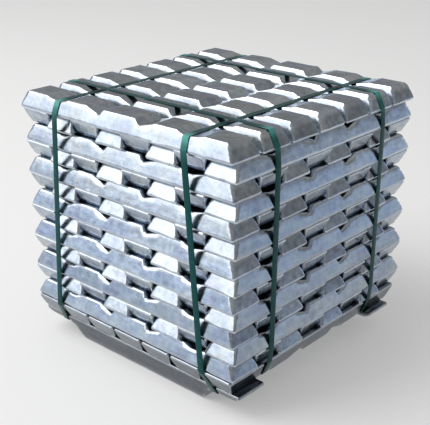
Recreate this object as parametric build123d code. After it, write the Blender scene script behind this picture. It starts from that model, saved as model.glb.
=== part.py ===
"""Strapped bundle of small notched aluminium ingots on two foot ingots.

Fourteen crosswise layers of one casting stand on two deep foot castings and are
held by four plastic straps. The front face is -Y and the right side is +X.
"""
from build123d import *
from math import sqrt
import os

os.makedirs("parts", exist_ok=True)

# Ingot: an open mould casting with a flat wide face, drafted sides and ends,
# and four notches that divide its narrow side into five lobes
ingot_length = 700.0
ingot_width = 95.0
ingot_height = 43.7
rim_height = 6.0
side_draft = 13.5
end_draft = 19.0
corner_cut = 5.0

# Outer notches: shallow saddles for the straps, placed from the ends
outer_notch_inset = 137.0
outer_notch_depth = 8.0
outer_notch_floor = 17.0
outer_notch_end_flank = 40.0
outer_notch_middle_flank = 25.0

# Inner notches: deeper grips with one steep flank, placed from the middle
inner_notch_place = 68.0
inner_notch_depth = 13.0
inner_notch_floor = 3.0
inner_notch_end_flank = 45.0
inner_notch_middle_flank = 14.0

# Foot ingot: a thin full-length flange with a deep body between its two ears
foot_width = 95.0
foot_depth = 67.0
sole_width = 54.0
sole_draft = 42.0
ear_length = 88.0
ear_depth = 16.0
ear_draft = 12.0
foot_shift = 5.0
front_foot_inset = 20.0
back_foot_inset = 46.0

# Stack: a plain top and base row with nested layers between them
nested_layers = 12
least_gap = 3.0
top_overhang = 12.0
side_overhang = 4.0
base_inset = 4.0
base_shift = 6.0

# Strap: a flat plastic band
strap_width = 19.0
strap_thickness = 1.0
strap_clearance = 0.3
strap_splay = 43.0

# Length by which every cutting tool runs past what it cuts
overrun = 20.0

# Heights of the layers, counted up from the ground under the feet
base_level = foot_depth
nest_level = base_level + ingot_height
top_level = nest_level + nested_layers * ingot_height
crest_level = top_level + ingot_height

# Reach of the rows: the top row lies widest, the nested rows stand a little past the ends
# of those they cross, and the base row is packed closer and lies forward
top_span = ingot_length + 2 * top_overhang
layer_span = ingot_length + 2 * side_overhang
base_span = ingot_length - 2 * base_inset
top_half = top_span / 2
span_half = layer_span / 2
base_half = base_span / 2
length_half = ingot_length / 2
base_front = length_half + base_shift
base_back = length_half - base_shift
foot_front = span_half - front_foot_inset
foot_back = span_half - back_foot_inset

# As many ingots lie in a row as its span takes: side by side, or nested flank to flank
wide_pitch = ingot_width + least_gap
flank_lap = side_draft * (ingot_height - 2 * rim_height) / (ingot_height - rim_height)
top_count = int((top_span + least_gap) / wide_pitch)
base_count = int((base_span + least_gap) / wide_pitch)
nested_count = int((layer_span - ingot_width) / (wide_pitch - flank_lap)) + 1
top_pitch = (top_span - ingot_width) / (top_count - 1)
base_pitch = (base_span - ingot_width) / (base_count - 1)
nested_pitch = (layer_span - ingot_width) / (nested_count - 1)

# Sizes that follow from those of the castings
outer_notch_place = length_half - outer_notch_inset
foot_length = ingot_length
body_length = foot_length - 2 * ear_length
sole_length = body_length - 2 * sole_draft

# A strap in an outer notch lies on its floor, or across its flanks where the floor is narrower
floor_lack = max(0, strap_width + 2 * strap_clearance - outer_notch_floor) / 2
strap_seat = outer_notch_depth - floor_lack * outer_notch_depth / outer_notch_middle_flank
seat_draft = side_draft * (ingot_height - strap_seat - rim_height) / (ingot_height - rim_height)


def prism(points, plane, thickness):
    """Extrude a closed outline drawn on a plane by half the thickness to each side."""
    return extrude(plane * make_face(Polyline(*points, close=True)), amount=thickness / 2, both=True)


def notch(place, depth, floor, left_flank, right_flank):
    """Cutter for one notch across the narrow side, with a flank of its own on each side."""
    floor_level = ingot_height - depth
    rise_share = (depth + overrun) / depth
    outline = [
        (place - floor / 2, floor_level),
        (place + floor / 2, floor_level),
        (place + floor / 2 + right_flank * rise_share, ingot_height + overrun),
        (place - floor / 2 - left_flank * rise_share, ingot_height + overrun),
    ]
    return prism(outline, Plane.XZ, ingot_width + overrun)


def notches(side):
    """Cutters for the outer and inner notch of one half of an ingot."""
    outer = (outer_notch_depth, outer_notch_floor)
    inner = (inner_notch_depth, inner_notch_floor)
    outer_flanks = (outer_notch_middle_flank, outer_notch_end_flank)[::side]
    inner_flanks = (inner_notch_middle_flank, inner_notch_end_flank)[::side]
    return [
        notch(side * outer_notch_place, *outer, *outer_flanks),
        notch(side * inner_notch_place, *inner, *inner_flanks),
    ]


def drafted(half, draft):
    """Outline of an ingot across one direction: an upright rim, then a slope in to the narrow side."""
    return [
        (-half, 0),
        (half, 0),
        (half, rim_height),
        (half - draft, ingot_height),
        (draft - half, ingot_height),
        (-half, rim_height),
    ]


def ingot():
    """One ingot along X, wide face down on the ground plane, lobes up."""
    casting = prism(drafted(length_half, end_draft), Plane.XZ, ingot_width + overrun)
    casting &= prism(drafted(ingot_width / 2, side_draft), Plane.YZ, ingot_length + overrun)
    corner_half = (length_half + ingot_width / 2 - corner_cut) / sqrt(2)
    corner = prism(drafted(corner_half, (end_draft + side_draft) / sqrt(2)), Plane.XZ, ingot_length + overrun)
    casting &= Rot(0, 0, 45) * corner
    casting &= Rot(0, 0, -45) * corner
    for cutter in notches(-1) + notches(1):
        casting -= cutter
    return casting.solid()


def foot():
    """One foot ingot along X, wide face up at its full depth, sole on the ground plane."""
    ear_level = foot_depth - ear_depth
    half = foot_length / 2
    profile = [
        (-half, foot_depth),
        (-half, foot_depth - rim_height),
        (ear_draft - half, ear_level),
        (-body_length / 2, ear_level),
        (-sole_length / 2, 0),
        (sole_length / 2, 0),
        (body_length / 2, ear_level),
        (half - ear_draft, ear_level),
        (half, foot_depth - rim_height),
        (half, foot_depth),
    ]
    section = [
        (-foot_width / 2, foot_depth),
        (-foot_width / 2, foot_depth - rim_height),
        (-sole_width / 2, 0),
        (sole_width / 2, 0),
        (foot_width / 2, foot_depth - rim_height),
        (foot_width / 2, foot_depth),
    ]
    along = prism(profile, Plane.XZ, foot_width + overrun)
    across = prism(section, Plane.YZ, foot_length + overrun)
    return (along & across).solid()


def row(count, pitch, flips):
    """A layer's ingots side by side along X, each one turned lobes down where flips says so."""
    upright = ingot()
    inverted = Pos(0, 0, ingot_height) * Rot(180, 0, 0) * upright
    first = -pitch * (count - 1) / 2
    return [Pos(0, first + k * pitch, 0) * (inverted if flips[k] else upright) for k in range(count)]


def strap(corners, band):
    """A taut flat band in the YZ plane round the outermost corners, on a sideways course in the XZ plane."""
    inner = make_hull(Polyline(*corners).edges())
    outer = offset(inner, amount=strap_thickness, kind=Kind.INTERSECTION)
    ring = extrude(Plane.YZ * (outer - inner), amount=top_span, both=True)
    half = strap_width / 2
    left = [(x - half, z) for x, z in band]
    right = [(x + half, z) for x, z in reversed(band)]
    return (ring & prism(left + right, Plane.XZ, 2 * top_span)).solid()


def front_strap(notch_place, splay_place, crook_place):
    """A strap round the front and back: in the top notches, splayed out to pass beside the feet."""
    ear_level = foot_depth - ear_depth
    ear_inset = (foot_width - sole_width) / 2 * (ear_depth - rim_height) / (foot_depth - rim_height)
    seat_level = crest_level - strap_seat
    corners = []
    for side, base_end, foot_edge in ((-1, base_front, foot_front), (1, base_back, foot_back)):
        corners += [
            (side * (top_half - seat_draft), seat_level),
            (side * top_half, top_level + rim_height),
            (side * top_half, top_level),
            (side * span_half, nest_level),
            (side * base_end, nest_level),
            (side * base_end, nest_level - rim_height),
            (side * (base_end - end_draft), base_level),
            (side * foot_edge, foot_depth - rim_height),
            (side * (foot_edge - ear_inset), ear_level),
        ]
    band = [
        (notch_place, seat_level + overrun),
        (notch_place, seat_level),
        (splay_place, nest_level),
        (crook_place, ear_level),
        (crook_place, ear_level - overrun),
    ]
    return strap(corners, band)


def side_strap(side):
    """A strap round the left and right: along one top ingot's crest and in the base row's notches."""
    seat_level = base_level + strap_seat
    upright_rim = top_level - ingot_height + rim_height
    corners = []
    for edge, shoulder_level in ((-1, upright_rim), (1, top_level)):
        corners += [
            (edge * (length_half - end_draft), crest_level),
            (edge * length_half, top_level + rim_height),
            (edge * span_half, shoulder_level),
            (edge * span_half, nest_level + ingot_height),
            (edge * length_half, nest_level),
            (edge * base_half, nest_level - rim_height),
            (edge * (base_half - seat_draft), seat_level),
        ]
    crest_place = side * (top_half - ingot_width / 2 - top_pitch)
    base_place = side * outer_notch_place - base_shift
    band = [
        (crest_place, crest_level + overrun),
        (crest_place, crest_level),
        (base_place, seat_level),
        (base_place, seat_level - overrun),
    ]
    return Rot(0, 0, 90) * strap(corners, band)


crosswise = Rot(0, 0, 90)
plain_up = row(top_count, top_pitch, [False] * top_count)
plain_down = row(base_count, base_pitch, [True] * base_count)
nested = row(nested_count, nested_pitch, [k % 2 == 1 for k in range(nested_count)])

nodes = {"top_ingot_layer": [Pos(0, 0, top_level) * piece for piece in plain_up]}
for number in range(2, nested_layers + 2):
    level = top_level - (number - 1) * ingot_height
    turn = crosswise if number % 2 == 0 else Rot(0, 0, 0)
    nodes[f"ingot_layer_{number:02d}"] = [Pos(0, 0, level) * turn * piece for piece in nested]
nodes["base_ingot_layer"] = [Pos(0, -base_shift, base_level) * crosswise * piece for piece in plain_down]

nodes["front_foot_ingot"] = [Pos(foot_shift, foot_width / 2 - foot_front, 0) * foot()]
nodes["back_foot_ingot"] = [Pos(foot_shift, foot_back - foot_width / 2, 0) * foot()]

crook = body_length / 2 + strap_clearance + strap_width / 2
splay_place = outer_notch_place + strap_splay
nodes["front_strap_left"] = [front_strap(-outer_notch_place, -splay_place, foot_shift - crook)]
nodes["front_strap_right"] = [front_strap(outer_notch_place, splay_place, foot_shift + crook)]
nodes["side_strap_near"] = [side_strap(-1)]
nodes["side_strap_far"] = [side_strap(1)]

for name, pieces in nodes.items():
    export_step(Compound(children=pieces), f"parts/{name}.step")
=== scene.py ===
"""Strapped bundle of notched aluminium ingots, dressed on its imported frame."""
import math

import bpy
import numpy as np
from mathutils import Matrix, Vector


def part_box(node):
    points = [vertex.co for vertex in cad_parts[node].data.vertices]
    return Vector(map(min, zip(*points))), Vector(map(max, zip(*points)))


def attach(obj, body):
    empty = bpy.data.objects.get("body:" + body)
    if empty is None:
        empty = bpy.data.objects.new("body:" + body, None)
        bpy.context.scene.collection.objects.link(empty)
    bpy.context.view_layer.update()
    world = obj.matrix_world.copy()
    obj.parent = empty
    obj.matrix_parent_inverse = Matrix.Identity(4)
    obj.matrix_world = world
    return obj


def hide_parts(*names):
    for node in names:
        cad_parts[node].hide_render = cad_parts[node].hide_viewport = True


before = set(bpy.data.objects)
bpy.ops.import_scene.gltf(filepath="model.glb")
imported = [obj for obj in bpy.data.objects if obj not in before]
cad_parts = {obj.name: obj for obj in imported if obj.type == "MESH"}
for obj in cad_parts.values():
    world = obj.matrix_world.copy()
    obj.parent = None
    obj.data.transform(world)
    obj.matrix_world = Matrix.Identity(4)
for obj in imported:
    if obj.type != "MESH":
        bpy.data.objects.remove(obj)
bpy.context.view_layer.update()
random = np.random.default_rng(1407)


# Foot ingots: two deep castings of the same remelt aluminium as the bars above them.
# Each was poured in an open mould and stands wide face up: a thin full-length flange
# with ears at both ends and a deep body between them, which lifts the bundle for forks.
foot_low, foot_high = (np.array(corner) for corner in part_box("front_foot_ingot"))
back_foot_low, back_foot_high = (np.array(corner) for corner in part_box("back_foot_ingot"))
foot_size = foot_high - foot_low
rim_height = 0.006
corner_radius = 0.006
sole_width = 0.054
ear_depth = 0.016
ear_fullness = 0.003
ear_crest = ear_depth + ear_fullness
ear_draft = 0.012
body_length = 0.524
sole_length = 0.440
root_radius = 0.009
root_spread = 0.01
foot_softness = 0.003
# How much painted shade darkens the foot castings, for the shade beneath the stack
foot_painted_shade = 5.2

# Cast unevenness, broad, fine and along the rim's lip: wave length, number of waves, height
broad_waves = (0.09, 5, 0.0004)
fine_waves = (0.025, 5, 0.0002)
lip_waves = (0.05, 6, 0.0003)

# Rings below the rim's edge, where the melt shrank as it set: level, outset, wear
rim_rings = np.array([
    (0.0050, 0.0, 0.6),
    (0.0030, -0.0008, 0.4),
    (0.0012, -0.0016, 0.6),
    (0.0004, -0.0022, 0.4),
    (0.0, -0.0034, 0.0),
])

# Grid steps in from a casting's edges, as shares of the corner radius, of the leaning side's
# run and of the width, and the number and least distance of the stations along it
corner_steps = np.array([0, 0.15, 0.35, 0.6, 1.0])
flank_steps = np.array([0.62, 0.86, 1.0, 1.14, 1.4])
crest_steps = np.array([0.36, 0.43])
end_steps = np.concatenate([corner_steps, [1.8, 2.8, 4.0, 4.5, 5.0]])
even_stations = 29
close_stations = 5
least_step = 0.0007
profile_samples = 2001
tiny = 1e-9


def wobble(x, y, size, waves, height):
    """Gentle cast unevenness: a sum of sine waves with random directions, lengths near size and phases."""
    turn = random.uniform(0, 2 * math.pi, (2, waves))
    pace = 2 * math.pi / (size * random.uniform(0.6, 1.8, waves))
    across = x[..., None] * np.cos(turn[0]) + y[..., None] * np.sin(turn[0])
    return height * np.sin(across * pace + turn[1]).sum(axis=-1) / math.sqrt(waves)


def rounded(x, height, reach):
    """A profile with its corners rounded: the mean of the height over a window of twice the reach."""
    fine = np.linspace(x.min(), x.max(), profile_samples)
    window = np.ones(max(3, int(2 * reach / (fine[1] - fine[0]))))
    padded = np.pad(np.interp(fine, x, height), len(window), mode="edge")
    smooth = np.convolve(padded, window / len(window), mode="same")[len(window):-len(window)]
    return np.interp(x, fine, smooth)


def unit(vectors):
    """Each row divided by its own length."""
    return vectors / np.maximum(np.linalg.norm(vectors, axis=1, keepdims=True), tiny)


def rounded_plan(x, y, core):
    """Plan points with the rectangle's corners rounded.

    A point that lies past the core in both directions is drawn towards the core's corner, until
    its distance from that corner is the larger of its two distances past the core.
    """
    out_x = np.clip(np.abs(x) - core[0], 0, None)
    out_y = np.clip(np.abs(y) - core[1], 0, None)
    far = np.maximum(out_x, out_y)
    reach = np.maximum(np.hypot(out_x, out_y), tiny)
    both = (out_x > 0) & (out_y > 0)
    x = np.where(both, np.sign(x) * (core[0] + far * out_x / reach), x)
    y = np.where(both, np.sign(y) * (core[1] + far * out_y / reach), y)
    return x, y


def closed_below(x, y, z, core):
    """Vertices and faces of a grid surface closed by its rim and its flat wide face.

    The grid's outline is carried down as rings, each moved outwards from the core by its outset
    and an uneven lip. The wide face is strips from side to side with one polygon at each end.
    """
    rows, columns = x.shape
    index = np.arange(x.size).reshape(x.shape)
    grid = np.stack([index[:-1, :-1], index[1:, :-1], index[1:, 1:], index[:-1, 1:]], axis=-1)
    ring = np.concatenate([index[:, 0], index[-1, 1:], index[-2::-1, -1], index[0, -2:0:-1]])
    points = np.stack([x, y, z], axis=-1).reshape(-1, 3)
    edge = points[ring]
    outward = unit(edge[:, :2] - np.clip(edge[:, :2], -core, core))
    lip = wobble(edge[:, 0], edge[:, 1], *lip_waves)[:, None]
    lower = []
    for level, outset in rim_rings[:, :2]:
        plan = edge[:, :2] + outward * (outset + lip)
        lower.append(np.concatenate([plan, np.full((len(ring), 1), level)], axis=1))

    rings = [ring] + [len(points) + k * len(ring) + np.arange(len(ring)) for k in range(len(lower))]
    skirt = []
    for upper_ring, lower_ring in zip(rings[:-1], rings[1:]):
        strip = [upper_ring, lower_ring, np.roll(lower_ring, -1), np.roll(upper_ring, -1)]
        skirt.append(np.stack(strip, axis=-1))
    last = rings[-1]
    near = last[:rows]
    opposite = last[rows + columns - 2:2 * rows + columns - 2][::-1]
    under = np.stack([near[:-1], opposite[:-1], opposite[1:], near[1:]], axis=-1)
    right_end = last[rows - 1:rows + columns - 1][::-1]
    left_end = np.concatenate([last[2 * rows + columns - 3:], last[:1]])[::-1]
    faces = np.concatenate([grid.reshape(-1, 4), *skirt, under]).tolist()
    return np.concatenate([points, *lower]), faces + [right_end.tolist(), left_end.tolist()]


def casting(length, width, height, end_run, side_run, along, crest, softness):
    """Closed surface of an open-mould casting along X, wide face down on z = 0.

    Over a grid of plan points the height is the lowest of three surfaces, with their crossings
    rounded over about the softness: the leaning ends, the leaning sides and the crest. Returns
    the vertices, the faces and how near each vertex lies to a worn edge, from 0 to 1.
    """
    across = np.concatenate([corner_steps * corner_radius, flank_steps * side_run, crest_steps * width])
    across = np.concatenate([across - width / 2, (width / 2 - across)[::-1]])
    x, y = np.meshgrid(along, across, indexing="ij")
    rise = height - rim_height
    end = rim_height + (length / 2 - np.abs(x)) * rise / end_run
    side = rim_height + (width / 2 - np.abs(y)) * rise / side_run
    surfaces = np.stack([end, side, np.broadcast_to(crest[:, None], x.shape)])
    z = -softness * np.log(np.exp(-surfaces / softness).sum(axis=0))
    share = np.exp((z - surfaces) / softness)
    wear = 2 * (1 - share.max(axis=0)).ravel()
    z = np.minimum(z + wobble(x, y, *broad_waves) + wobble(x, y, *fine_waves), crest[:, None])
    core = np.array([length, width]) / 2 - corner_radius
    x, y = rounded_plan(x, y, core)
    points, faces = closed_below(x, y, z, core)
    ring_size = (len(points) - len(wear)) // len(rim_rings)
    return points, faces, np.concatenate([wear, np.repeat(rim_rings[:, 2], ring_size)])


class Socket:
    """An output socket of a material's node tree; sums and products on it add Math nodes."""

    def __init__(self, tree, output):
        self.tree = tree
        self.output = output

    def node(self, kind, settings=None, inputs=None, output=0):
        """Add any other node: its settings first, then the values or links of its inputs."""
        added = self.tree.nodes.new(kind)
        for name, value in (settings or {}).items():
            if name == "stops":
                while len(added.color_ramp.elements) < len(value):
                    added.color_ramp.elements.new(1.0)
                for element, (place, colour) in zip(added.color_ramp.elements, value):
                    element.position = place
                    element.color = colour
            else:
                setattr(added, name, value)
        for name, value in (inputs or {}).items():
            if isinstance(value, Socket):
                self.tree.links.new(value.output, added.inputs[name])
            else:
                added.inputs[name].default_value = value
        return Socket(self.tree, added.outputs[output])

    def math(self, operation, first, second):
        """Add a Math node on two values or sockets."""
        return self.node("ShaderNodeMath", {"operation": operation}, {0: first, 1: second})

    def __add__(self, other):
        return self.math("ADD", self, other)

    def __radd__(self, other):
        return self.math("ADD", other, self)

    def __sub__(self, other):
        return self.math("SUBTRACT", self, other)

    def __rsub__(self, other):
        return self.math("SUBTRACT", other, self)

    def __mul__(self, other):
        return self.math("MULTIPLY", self, other)

    def __rmul__(self, other):
        return self.math("MULTIPLY", other, self)


def new_material(name):
    """A new material, its shader node and a socket on that shader to build from."""
    material = bpy.data.materials.new(name)
    material.use_nodes = True
    shader = material.node_tree.nodes["Principled BSDF"]
    return material, shader, Socket(material.node_tree, shader.outputs[0])


def link(shader, name, socket):
    """Feed one of a shader's inputs from a socket."""
    shader.id_data.links.new(socket.output, shader.inputs[name])


def cast_aluminium():
    """Dull cast aluminium: oxide mottling, faint blue and violet tints, streaks and bright worn edges."""
    oxide_tints = [
        (0.30, (0.39, 0.42, 0.52, 1)),
        (0.45, (0.41, 0.47, 0.55, 1)),
        (0.58, (0.45, 0.505, 0.555, 1)),
        (0.75, (0.485, 0.505, 0.53, 1)),
    ]
    worn_metal = (0.86, 0.88, 0.91, 1)
    material, shader, start = new_material("cast_aluminium")
    place = start.node("ShaderNodeAttribute", {"attribute_name": "cast_place"}, output=1)
    wear = start.node("ShaderNodeAttribute", {"attribute_name": "edge_wear"}, output=2)
    tone_and_shade = start.node("ShaderNodeAttribute", {"attribute_name": "ingot_tone"}, output=2)

    def noise(scale, detail, rough=0.55, vector=place):
        """Noise with so many waves to the metre, on the casting's own coordinates or drawn-out ones."""
        return start.node("ShaderNodeTexNoise", {"noise_dimensions": "3D"},
                          {"Vector": vector, "Scale": scale, "Detail": detail, "Roughness": rough})

    drawn = start.node("ShaderNodeMapping", None, {"Vector": place, "Scale": (0.25, 1.0, 1.6)})
    clouds = noise(14.0, 3.0)
    blotches = noise(60.0, 4.0)
    streaks = noise(46.0, 4.0, 0.6, drawn)
    grain = noise(420.0, 3.0)
    tint = start.node("ShaderNodeValToRGB", {"stops": oxide_tints}, {"Fac": clouds})
    # Lightness of the colour: the mottling times each casting's tone, which carries the painted shade laid
    # on the foot and base castings
    light = (0.16 + 0.80 * blotches + 0.70 * streaks + 0.14 * grain) * (1.0 + 0.14 * tone_and_shade)
    shade = start.node("ShaderNodeMix", {"data_type": "RGBA", "blend_type": "MULTIPLY"},
                       {"Factor": 1.0, "A": tint, "B": light}, output=2)
    bright = start.node("ShaderNodeMix", {"data_type": "RGBA"},
                        {"Factor": 0.55 * wear, "A": shade, "B": worn_metal}, output=2)
    link(shader, "Base Color", bright)
    link(shader, "Roughness", 0.10 + 0.14 * blotches + 0.10 * streaks)
    relief = 0.6 * blotches + 0.3 * grain + 0.4 * streaks
    bump = start.node("ShaderNodeBump", None, {"Strength": 0.2, "Distance": 0.0012, "Height": relief})
    link(shader, "Normal", bump)
    shader.inputs["Metallic"].default_value = 1.0
    return material


aluminium = cast_aluminium()
pattern_reach = 40


def add_piece(name, points, faces, attributes, material, node):
    """One mesh object at the origin that rides on the bundle and stands for its node in the frame."""
    mesh = bpy.data.meshes.new(name)
    mesh.from_pydata(points.tolist(), [], faces)
    for label, values in attributes.items():
        kind, entry = ("FLOAT_VECTOR", "vector") if values.ndim == 2 else ("FLOAT", "value")
        mesh.attributes.new(label, kind, "POINT").data.foreach_set(entry, values.ravel())
    mesh.shade_smooth()
    mesh.materials.append(material)
    piece = bpy.data.objects.new(name, mesh)
    bpy.context.scene.collection.objects.link(piece)
    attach(piece, "root")
    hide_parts(node)


def add_castings(node, castings, painted_shade):
    """Join several placed castings into one piece; each one carries its own coordinates and its tone, a
    random share less any painted shade.
    """
    points, faces, places, wears, tones_and_shades = [], [], [], [], []
    start = 0
    for local, local_faces, wear, placed in castings:
        points.append(placed)
        faces.extend([[k + start for k in face] for face in local_faces])
        places.append(local + random.uniform(-pattern_reach, pattern_reach, 3))
        wears.append(wear)
        # A random tone, less the painted shade that darkens the low castings
        tones_and_shades.append(np.full(len(local), random.uniform(-1, 1) - painted_shade))
        start += len(local)
    attributes = {
        "cast_place": np.concatenate(places),
        "edge_wear": np.concatenate(wears),
        "ingot_tone": np.concatenate(tones_and_shades),
    }
    add_piece(node + "_cast", np.concatenate(points), faces, attributes, aluminium, node)


def stations(length, places, spread):
    """Grid places along a casting: even steps, closer steps at both ends and round each listed place."""
    even = np.linspace(-length / 2, length / 2, even_stations)
    ends = length / 2 - end_steps * corner_radius
    close = [place + spread * np.linspace(-1, 1, close_stations) for place in places]
    every = np.unique(np.round(np.concatenate([even, ends, -ends, *close]), 5))
    keep = np.concatenate([[True], np.diff(every) > least_step])
    return every[keep]


def foot_casting():
    """The foot's casting, wide face down: its crest is the ears' level with the body standing on it."""
    length, width, depth = foot_size
    root, sole = body_length / 2 - root_radius, sole_length / 2
    along = stations(length, [-root, -sole, sole, root], root_spread)
    profile_x = np.array([-length / 2, -root, -sole, sole, root, length / 2])
    profile_z = np.array([ear_crest, ear_crest, depth, depth, ear_crest, ear_crest])
    crest = rounded(along, np.interp(along, profile_x, profile_z), root_radius)
    side_run = (width - sole_width) / 2
    end_run = ear_draft * (depth - rim_height) / (ear_depth - rim_height)
    return casting(length, width, depth, end_run, side_run, along, crest, foot_softness)


def turned_over(points, height):
    """A half turn about X, so that the wide face lies up at the casting's full height."""
    return points * [1, -1, -1] + [0, 0, height]


for node, low in (("front_foot_ingot", foot_low), ("back_foot_ingot", back_foot_low)):
    local, local_faces, wear = foot_casting()
    placed = turned_over(local, foot_size[2]) + low + foot_size * [0.5, 0.5, 0]
    add_castings(node, [(local, local_faces, wear, placed)], foot_painted_shade)


# Ingot layers: small open-mould bars, flat on the wide face, with four notches across the
# narrow side. The base layer lies lobes down, twelve nested layers alternate lobes up and
# lobes down and cross the layer below, and the top layer lies lobes up.
top_low, top_high = (np.array(corner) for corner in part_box("top_ingot_layer"))
base_low, base_high = (np.array(corner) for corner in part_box("base_ingot_layer"))
layer_low, layer_high = (np.array(corner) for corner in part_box("ingot_layer_13"))
ingot_length = top_high[0] - top_low[0]
ingot_height = top_high[2] - top_low[2]
ingot_width = 0.095
side_draft = 0.0135
end_draft = 0.019
ingot_softness = 0.0016

# Notches of one half of a bar: place, depth, floor, and the flanks towards the middle and the end
outer_notch = 0.213
outer_depth = 0.008
outer_floor = 0.017
outer_flanks = (0.025, 0.040)
inner_notch = 0.068
inner_depth = 0.013
inner_floor = 0.003
inner_flanks = (0.014, 0.045)
notch_rounding = 0.0035
notch_spread = 0.005

# The stack: its middle, the rows' reach and counts, and how far the base row lies forward
stack_x = (top_low[0] + top_high[0]) / 2
top_level = top_low[2]
crest_level = top_high[2]
top_span = top_high[1] - top_low[1]
layer_span = layer_high[1] - layer_low[1]
base_half = (base_high[0] - base_low[0]) / 2
base_forward = -(base_low[1] + base_high[1]) / 2
plain_count = 7
nested_count = 8
lowest_nested = 13
top_pitch = (top_span - ingot_width) / (plain_count - 1)
nested_pitch = (layer_span - ingot_width) / (nested_count - 1)
base_pitch = (2 * base_half - ingot_width) / (plain_count - 1)
# How much painted shade darkens the base row, lying low under the stack
base_painted_shade = 3.9

# How far a loose bar lies out of true, and the share of that which a strap leaves it
most_turn = 0.004
most_inward = 0.0015
most_slip = 0.003
strapped_play = 0.1


def ingot_casting():
    """One bar, wide face down: its crest is level but for four notches with sloping flanks."""
    half_x, half_z = [], []
    for place, depth, floor, flanks in ((inner_notch, inner_depth, inner_floor, inner_flanks),
                                        (outer_notch, outer_depth, outer_floor, outer_flanks)):
        near, far = place - floor / 2, place + floor / 2
        half_x += [near - flanks[0], near, far, far + flanks[1]]
        half_z += [ingot_height, ingot_height - depth, ingot_height - depth, ingot_height]
    along = stations(ingot_length, [*half_x, *(-place for place in half_x)], notch_spread)
    crest = rounded(along, np.interp(np.abs(along), half_x, half_z), notch_rounding)
    return casting(ingot_length, ingot_width, ingot_height, end_draft, side_draft, along, crest,
                   ingot_softness)


def quarter_turned(points):
    """A quarter turn about Z, so that what lay along X lies along Y."""
    return points[:, [1, 0, 2]] * [-1, 1, 1]


def lay_layer(node, pitch, crosswise, flips, forward=0.0, painted_shade=0.0, play=1.0):
    """Place a layer's bars side by side, each a little out of true, and join them to one piece.

    The play is the share of that freedom that the straps leave: bars under a strap lie truer.
    """
    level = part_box(node)[0].z
    count = len(flips)
    castings = []
    for k in range(count):
        local, local_faces, wear = ingot_casting()
        placed = turned_over(local, ingot_height) if flips[k] else local
        outermost = k in (0, count - 1)
        yaw = random.uniform(-most_turn, most_turn) * (strapped_play if outermost else play)
        inward = np.sign(count - 1 - 2 * k) * random.uniform(0.0, most_inward)
        slip = random.uniform(-most_slip, most_slip) * play
        cos, sin = math.cos(yaw), math.sin(yaw)
        placed = placed @ np.array([[cos, sin, 0], [-sin, cos, 0], [0, 0, 1]])
        placed = placed + [slip, (k - (count - 1) / 2) * pitch + inward, 0]
        if crosswise:
            placed = quarter_turned(placed)
        castings.append((local, local_faces, wear, placed + [stack_x, -forward, level]))
    add_castings(node, castings, painted_shade)


nested_flips = [k % 2 == 1 for k in range(nested_count)]
lay_layer("base_ingot_layer", base_pitch, True, [True] * plain_count,
          base_forward, base_painted_shade, strapped_play)
for number in range(lowest_nested, 1, -1):
    lay_layer(f"ingot_layer_{number:02d}", nested_pitch, number % 2 == 0, nested_flips,
              play=strapped_play if number == lowest_nested else 1.0)
lay_layer("top_ingot_layer", top_pitch, False, [False] * plain_count, play=strapped_play)


# Straps: four flat bands of dark green plastic, pulled tight round the stack. Two go round the
# front and back in the top bars' outer notches and splay out to pass beside the feet. Two go
# round the sides, along the crest of a top bar and in the base row's notches.
strap_width = 0.019
strap_thickness = 0.001
strap_clearance = 0.0003
strap_bend_radius = 0.004
strap_splay = 0.043
course_overrun = 0.02
# Reach along the band of the painted sheen at each upper bend
sheen_reach = 0.016
arc_points = 7
run_points = 24

# Outline of the band, in half widths and thicknesses
band_outline = np.array([
    (-1, 0.15), (-0.97, 0.85), (-0.9, 1), (0, 1), (0.9, 1),
    (0.97, 0.85), (1, 0.15), (0.9, 0), (0, 0), (-0.9, 0),
])


def strap_material():
    """Extruded plastic band: drawing lines, faint scuffs, and a painted sheen of paler green on its upper
    bends.
    """
    deep_green = (0.000, 0.024, 0.028, 1)
    scuffed_green = (0.002, 0.085, 0.083, 1)
    # Paler mint for the painted sheen on the upper bends
    sheen_green = (0.15, 0.50, 0.44, 1)
    material, shader, start = new_material("strap_plastic")
    place = start.node("ShaderNodeAttribute", {"attribute_name": "strap_place"}, output=1)
    bend_sheen = start.node("ShaderNodeAttribute", {"attribute_name": "strap_bend"}, output=2)
    drawn = start.node("ShaderNodeMapping", None, {"Vector": place, "Scale": (4.0, 600.0, 1.0)})
    lines = start.node("ShaderNodeTexNoise", None, {"Vector": drawn, "Scale": 1.0, "Detail": 3.0})
    scuffs = start.node("ShaderNodeTexNoise", None, {"Vector": place, "Scale": 40.0, "Detail": 5.0})
    green = start.node("ShaderNodeMix", {"data_type": "RGBA"},
                       {"Factor": 0.35 * lines + 0.35 * scuffs, "A": deep_green, "B": scuffed_green},
                       output=2)
    # Painted sheen: the upper bends' mask mixes the band towards the paler green
    colour = start.node("ShaderNodeMix", {"data_type": "RGBA"},
                        {"Factor": bend_sheen * (0.40 + 0.6 * scuffs), "A": green, "B": sheen_green},
                        output=2)
    link(shader, "Base Color", colour)
    link(shader, "Roughness", 0.17 + 0.18 * scuffs)
    bump = start.node("ShaderNodeBump", None, {"Strength": 0.25, "Distance": 0.0004, "Height": lines})
    link(shader, "Normal", bump)
    shader.inputs["Specular IOR Level"].default_value = 0.22
    shader.inputs["Specular Tint"].default_value = (0.45, 1.0, 0.92, 1)
    return material


green_plastic = strap_material()


def turning(first, second):
    """How far one plane vector turns to the left of another: their cross product."""
    return first[..., 0] * second[..., 1] - first[..., 1] * second[..., 0]


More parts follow.
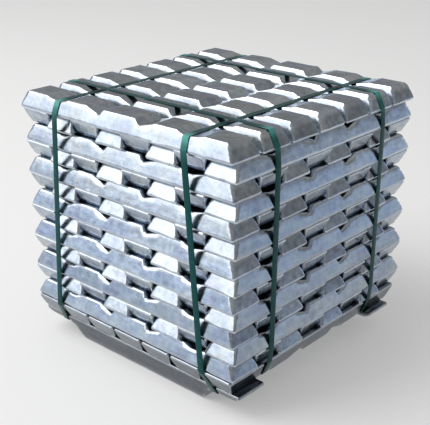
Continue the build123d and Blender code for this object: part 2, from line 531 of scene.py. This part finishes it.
def tight_corners(corners):
    """The outermost corners in order round the loop.

    They are taken by their bearing from the lowest one, and a corner that would bend the loop
    inwards is dropped.
    """
    corners = np.array(corners)
    lowest = corners[np.lexsort((corners[:, 0], corners[:, 1]))[0]]
    away = corners - lowest
    bearing = np.round(np.arctan2(away[:, 1], away[:, 0]), 9)
    tight = []
    for corner in corners[np.lexsort((np.linalg.norm(away, axis=1), bearing))]:
        while len(tight) > 1 and turning(tight[-1] - tight[-2], corner - tight[-1]) < tiny:
            tight.pop()
        tight.append(corner)
    return np.array(tight)


def taut_loop(corners, radius):
    """A closed loop drawn tight round the outermost corners, each turned by an arc of the given radius.

    An arc's points are its two ends as seen from its centre, weighted by the sines of the angles
    still to go and gone. The runs between the arcs are straight and evenly divided.
    """
    corners = tight_corners(corners)
    back = unit(np.roll(corners, 1, axis=0) - corners)
    ahead = unit(np.roll(corners, -1, axis=0) - corners)
    half = np.arccos(np.clip((back * ahead).sum(axis=1), -1, 1)) / 2
    centre = corners + unit(back + ahead) * (radius / np.sin(half))[:, None]
    start = corners + back * (radius / np.tan(half))[:, None] - centre
    finish = corners + ahead * (radius / np.tan(half))[:, None] - centre
    sweep = math.pi - 2 * half
    steps = np.linspace(0, 1, arc_points)
    fan = np.sin((1 - steps) * sweep[:, None])[..., None] * start[:, None]
    fan = fan + np.sin(steps * sweep[:, None])[..., None] * finish[:, None]
    arcs = centre[:, None] + fan / np.sin(sweep)[:, None, None]
    run = np.roll(arcs[:, 0], -1, axis=0) - arcs[:, -1]
    runs = arcs[:, -1][:, None] + run[:, None] * np.linspace(0, 1, run_points + 2)[1:-1, None]
    return np.concatenate([arcs, runs], axis=1).reshape(-1, 2)


def strap(node, loop, course, crosswise):
    """A flat band carried round a loop in the YZ plane; its middle follows a course of X over height.

    The painted sheen at the upper bends is the loop's turning, summed with a bell-shaped weight along it.
    """
    path = taut_loop(loop, strap_bend_radius)
    ahead = unit(np.roll(path, -1, axis=0) - np.roll(path, 1, axis=0))
    out = np.stack([ahead[:, 1], -ahead[:, 0]], axis=1)
    out = out * np.sign(((path - path.mean(axis=0)) * out).sum(axis=1, keepdims=True))
    heights, sides = np.array(sorted((z, x) for x, z in course)).T
    centre = np.interp(path[:, 1], heights, sides)
    travel = np.concatenate([[0], np.cumsum(np.linalg.norm(np.diff(path, axis=0), axis=1))])
    turn = np.abs(turning(ahead, np.roll(ahead, 1, axis=0)))
    # Mask of the painted sheen: the turning near each place, kept to the upper bends
    nearby = np.exp(-((travel[:, None] - travel) / sheen_reach) ** 2)
    upper = np.clip((path[:, 1] - top_level) / ingot_height + 0.5, 0, 1)
    bend_sheen = upper * np.clip(nearby @ turn, 0, 1)

    beside = band_outline[:, 0] * (strap_width / 2)
    lift = strap_clearance + band_outline[:, 1] * strap_thickness
    x = centre[:, None] + beside
    yz = path[:, None, :] + out[:, None, :] * lift[:, None]
    points = np.concatenate([x[..., None], yz], axis=-1).reshape(-1, 3)
    if crosswise:
        points = quarter_turned(points)
    index = np.arange(x.size).reshape(x.shape)
    following = np.roll(index, -1, axis=0)
    faces = [index, following, np.roll(following, -1, axis=1), np.roll(index, -1, axis=1)]
    faces = np.stack(faces, axis=-1).reshape(-1, 4).tolist()
    place = np.stack([*np.broadcast_arrays(travel[:, None], beside), np.zeros_like(x)], axis=-1)
    attributes = {
        "strap_place": place.reshape(-1, 3),
        "strap_bend": np.repeat(bend_sheen, len(band_outline)),
    }
    add_piece(node + "_band", points + [stack_x, 0, 0], faces, attributes, green_plastic, node)


# Corners that the straps go round, and where in the notches they lie: on the floor, or across
# the flanks where the floor is narrower than the band
top_half = top_span / 2
span_half = layer_span / 2
length_half = ingot_length / 2
base_level = foot_size[2]
nest_level = base_level + ingot_height
floor_lack = max(0.0, strap_width + 2 * strap_clearance - outer_floor) / 2
strap_seat = outer_depth - floor_lack * outer_depth / outer_flanks[0]
seat_draft = side_draft * (ingot_height - strap_seat - rim_height) / (ingot_height - rim_height)
top_seat = crest_level - strap_seat
base_seat = base_level + strap_seat
ear_level = foot_size[2] - ear_crest
ear_inset = (foot_size[1] - sole_width) / 2 * (ear_crest - rim_height) / (foot_size[2] - rim_height)

front_loop = []
for side, base_end, foot_edge in ((-1, -base_low[1], -foot_low[1]), (1, base_high[1], back_foot_high[1])):
    front_loop += [
        (side * (top_half - seat_draft), top_seat),
        (side * top_half, top_level + rim_height),
        (side * top_half, top_level),
        (side * span_half, nest_level),
        (side * base_end, nest_level),
        (side * base_end, nest_level - rim_height),
        (side * (base_end - end_draft), base_level),
        (side * foot_edge, base_level - rim_height),
        (side * (foot_edge - ear_inset), ear_level),
    ]
foot_middle = (foot_low[0] + foot_high[0]) / 2 - stack_x
crook = body_length / 2 + strap_clearance + strap_width / 2
for node, side in (("front_strap_left", -1), ("front_strap_right", 1)):
    course = [
        (side * outer_notch, top_seat + course_overrun),
        (side * outer_notch, top_seat),
        (side * (outer_notch + strap_splay), nest_level),
        (foot_middle + side * crook, ear_level),
        (foot_middle + side * crook, 0.0),
    ]
    strap(node, front_loop, course, False)

side_loop = []
for side, shoulder_level in ((-1, top_level - ingot_height + rim_height), (1, top_level)):
    side_loop += [
        (side * (length_half - end_draft), crest_level),
        (side * length_half, top_level + rim_height),
        (side * span_half, shoulder_level),
        (side * span_half, nest_level + ingot_height),
        (side * length_half, nest_level),
        (side * base_half, nest_level - rim_height),
        (side * (base_half - seat_draft), base_seat),
    ]
crest_place = top_half - ingot_width / 2 - top_pitch
for node, side in (("side_strap_near", -1), ("side_strap_far", 1)):
    course = [
        (side * crest_place, crest_level + course_overrun),
        (side * crest_place, crest_level),
        (side * outer_notch - base_forward, base_seat),
        (side * outer_notch - base_forward, 0.0),
    ]
    strap(node, side_loop, course, True)


# Floor: a plain pale matt studio floor, wide enough to fill the view. It keeps the bundle's
# shadow, and the metal shows the same pale floor that the eye sees.
floor_half = 30.0
floor_colour = (0.90, 0.90, 0.90, 1)
white_share = 0.3
floor_corners = [(-floor_half, -floor_half, 0), (floor_half, -floor_half, 0),
                 (floor_half, floor_half, 0), (-floor_half, floor_half, 0)]
floor_mesh = bpy.data.meshes.new("floor")
floor_mesh.from_pydata(floor_corners, [], [(0, 1, 2, 3)])
floor = bpy.data.objects.new("floor", floor_mesh)
bpy.context.scene.collection.objects.link(floor)
floor_material, floor_shader, floor_start = new_material("pale_floor")
floor_shader.inputs["Base Color"].default_value = floor_colour
floor_shader.inputs["Roughness"].default_value = 0.9
floor_shader.inputs["Specular IOR Level"].default_value = 0.0
seen = floor_start.node("ShaderNodeLightPath", output="Is Camera Ray")
seen = seen + floor_start.node("ShaderNodeLightPath", output="Is Glossy Ray")
seen = seen + floor_start.node("ShaderNodeLightPath", output="Is Transmission Ray")
white = floor_start.node("ShaderNodeEmission", None, {"Color": (1, 1, 1, 1), "Strength": 1.0})
paler = floor_start.node("ShaderNodeMixShader", None, {0: white_share * seen, 1: floor_start, 2: white})
floor_output = floor_material.node_tree.nodes["Material Output"]
floor_material.node_tree.links.new(paler.output, floor_output.inputs["Surface"])
floor_mesh.materials.append(floor_material)


# Light: a wide soft lamp low at the front left, a smaller one high above it that lights the
# floor, and a dim studio around them: pale and bluish near the horizon, darker above it.
softbox = bpy.data.lights.new("front_left_softbox", "AREA")
softbox.shape = "RECTANGLE"
softbox.size = 12.5
softbox.size_y = 7.6
softbox.energy = 620.0
softbox_place = (-8.90, -10.60, 6.14)
high_light = bpy.data.lights.new("high_light", "AREA")
high_light.shape = "SQUARE"
high_light.size = 5.0
high_light.energy = 310.0
high_place = (-2.63, -3.13, 6.29)
lamp_aim = (0, 0, 0.35)
for lamp_data, lamp_place in ((softbox, softbox_place), (high_light, high_place)):
    lamp = bpy.data.objects.new(lamp_data.name, lamp_data)
    away = np.array(lamp_place) - lamp_aim
    tilt = math.atan2(math.hypot(away[0], away[1]), away[2])
    lamp.location = lamp_place
    lamp.rotation_euler = (tilt, 0, math.atan2(away[0], -away[1]))
    bpy.context.scene.collection.objects.link(lamp)

studio_strength = 1.2
right_dimming = 0.10
studio_tones = [
    (0.0, (0.70, 0.84, 1.0, 1)),
    (0.055, (0.62, 0.76, 1.0, 1)),
    (0.12, (0.20, 0.21, 0.23, 1)),
    (0.27, (0.22, 0.21, 0.20, 1)),
    (0.42, (0.36, 0.345, 0.32, 1)),
    (1.0, (0.28, 0.28, 0.29, 1)),
]
world = bpy.data.worlds.new("studio")
world.use_nodes = True
background = world.node_tree.nodes["Background"]
studio = Socket(world.node_tree, background.outputs[0])
ray = studio.node("ShaderNodeTexCoord")
rightward = studio.node("ShaderNodeSeparateXYZ", None, {"Vector": ray}, output=0)
upward = studio.node("ShaderNodeSeparateXYZ", None, {"Vector": ray}, output=2)
fade = studio.node("ShaderNodeValToRGB", {"stops": studio_tones}, {"Fac": upward})
glow = studio.node("ShaderNodeMix", {"data_type": "RGBA", "blend_type": "MULTIPLY"},
                   {"Factor": 1.0, "A": fade, "B": 1.0 - right_dimming * rightward}, output=2)
world.node_tree.links.new(glow.output, background.inputs["Color"])
background.inputs["Strength"].default_value = studio_strength
bpy.context.scene.world = world


# Camera: looks down at the corner between the front and the right side, as the photograph does.
# Its place is measured from the middle of the stack, at the level of the top row's wide faces.
image_width = 430
focal_pixels = 893.6
shift_pixels = 20
camera_azimuth = math.radians(41.758)
camera_elevation = math.radians(23.197)
camera_place = np.array([1.4714, -1.6683, 0.5935]) + [stack_x, 0, top_level]
camera_data = bpy.data.cameras.new("camera")
camera_data.sensor_width = 36.0
camera_data.lens = focal_pixels / image_width * camera_data.sensor_width
camera_data.shift_y = shift_pixels / image_width
camera = bpy.data.objects.new("camera", camera_data)
camera.location = camera_place
camera.rotation_euler = (math.pi / 2 - camera_elevation, 0, camera_azimuth)
bpy.context.scene.collection.objects.link(camera)
bpy.context.scene.camera = camera
bpy.context.scene.view_settings.view_transform = "Standard"
